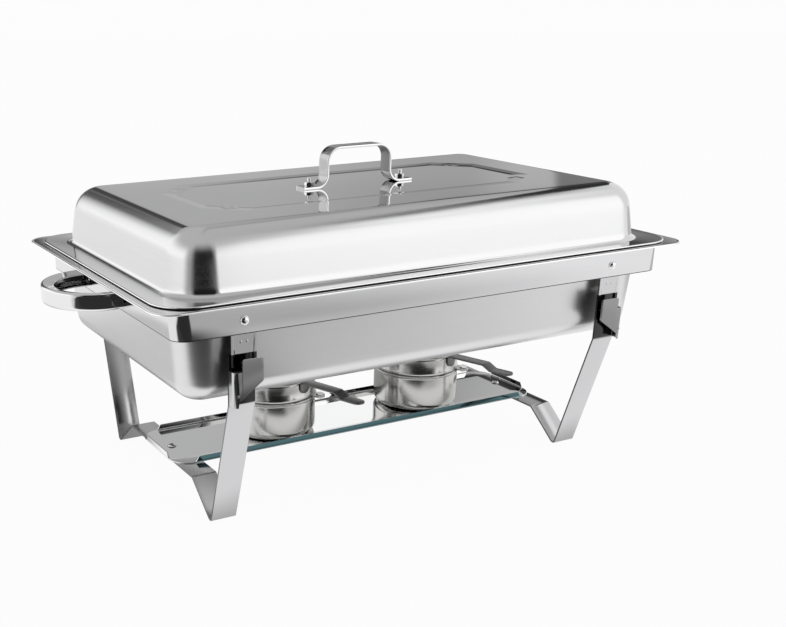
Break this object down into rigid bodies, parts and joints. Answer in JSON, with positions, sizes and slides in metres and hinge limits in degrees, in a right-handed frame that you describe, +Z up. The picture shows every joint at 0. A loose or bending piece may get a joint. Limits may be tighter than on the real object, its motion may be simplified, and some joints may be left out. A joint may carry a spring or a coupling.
{
  "type": "chafing dish food warmer",
  "caption": "Stainless food warmer: covered food pan over a water pan on a strip-steel stand with looped side handles and covered fuel cups on a shelf.",
  "frame": {"origin": "on the floor under the middle of the stand", "axes": "+X along the long side, to the right seen from the front; front faces -Y; +Z up"},
  "size_m": [0.6644, 0.355, 0.3212],
  "materials": {
    "lid_steel": "polished stainless sheet",
    "pan_steel": "satin stainless sheet",
    "handle_steel": "mirror-polished stainless strip",
    "fastener_steel": "bright plated steel",
    "shelf_steel": "mirror-polished stainless sheet",
    "cup_steel": "bright drawn stainless",
    "frame_steel": "bright rolled stainless strip"
  },
  "bodies": {
    "frame": {"frame_band": "frame_steel", "side_handle_left": "handle_steel", "side_handle_right": "handle_steel", "handle_rivet_left_front": "fastener_steel", "handle_rivet_left_rear": "fastener_steel", "handle_rivet_right_front": "fastener_steel", "handle_rivet_right_rear": "fastener_steel", "hanger_left_front": "frame_steel", "hanger_left_rear": "frame_steel", "hanger_right_front": "frame_steel", "hanger_right_rear": "frame_steel", "hanger_rivet_left_front": "fastener_steel", "hanger_rivet_left_rear": "fastener_steel", "hanger_rivet_right_front": "fastener_steel", "hanger_rivet_right_rear": "fastener_steel", "leg_set_left": "frame_steel", "leg_set_right": "frame_steel", "shelf": "shelf_steel", "shelf_screw_left": "fastener_steel", "shelf_screw_right": "fastener_steel"},
    "water_pan": {"water_pan": "pan_steel"},
    "food_pan": {"food_pan": "pan_steel"},
    "lid": {"lid": "lid_steel", "lid_handle": "handle_steel", "lid_bolt_left": "fastener_steel", "lid_bolt_right": "fastener_steel", "lid_nut_left": "fastener_steel", "lid_nut_right": "fastener_steel"},
    "fuel_left": {"fuel_cup_left": "cup_steel", "cover_pivot_left": "fastener_steel"},
    "cover_left": {"cover_left": "cup_steel", "cover_arm_left": "cup_steel"},
    "fuel_right": {"fuel_cup_right": "cup_steel", "cover_pivot_right": "fastener_steel"},
    "cover_right": {"cover_right": "cup_steel", "cover_arm_right": "cup_steel"}
  },
  "joints": [
    {"name": "water_pan_lift", "type": "slide", "parent": "frame", "child": "water_pan", "axis": [0, 0, 1], "range_m": [0, 0.12]},
    {"name": "food_pan_lift", "type": "slide", "parent": "water_pan", "child": "food_pan", "axis": [0, 0, 1], "range_m": [0, 0.12]},
    {"name": "lid_lift", "type": "slide", "parent": "food_pan", "child": "lid", "axis": [0, 0, 1], "range_m": [0, 0.2]},
    {"name": "fuel_left_lift", "type": "slide", "parent": "frame", "child": "fuel_left", "axis": [0, 0, 1], "range_m": [0, 0.03]},
    {"name": "fuel_right_lift", "type": "slide", "parent": "frame", "child": "fuel_right", "axis": [0, 0, 1], "range_m": [0, 0.03]},
    {"name": "cover_left_swing", "type": "hinge", "parent": "fuel_left", "child": "cover_left", "pos_m": [-0.05654, -0.03939, 0.0736], "axis": [0, 0, 1], "range_deg": [0, 100]},
    {"name": "cover_right_swing", "type": "hinge", "parent": "fuel_right", "child": "cover_right", "pos_m": [0.12746, -0.03939, 0.0736], "axis": [0, 0, 1], "range_deg": [0, 100]}
  ]
}
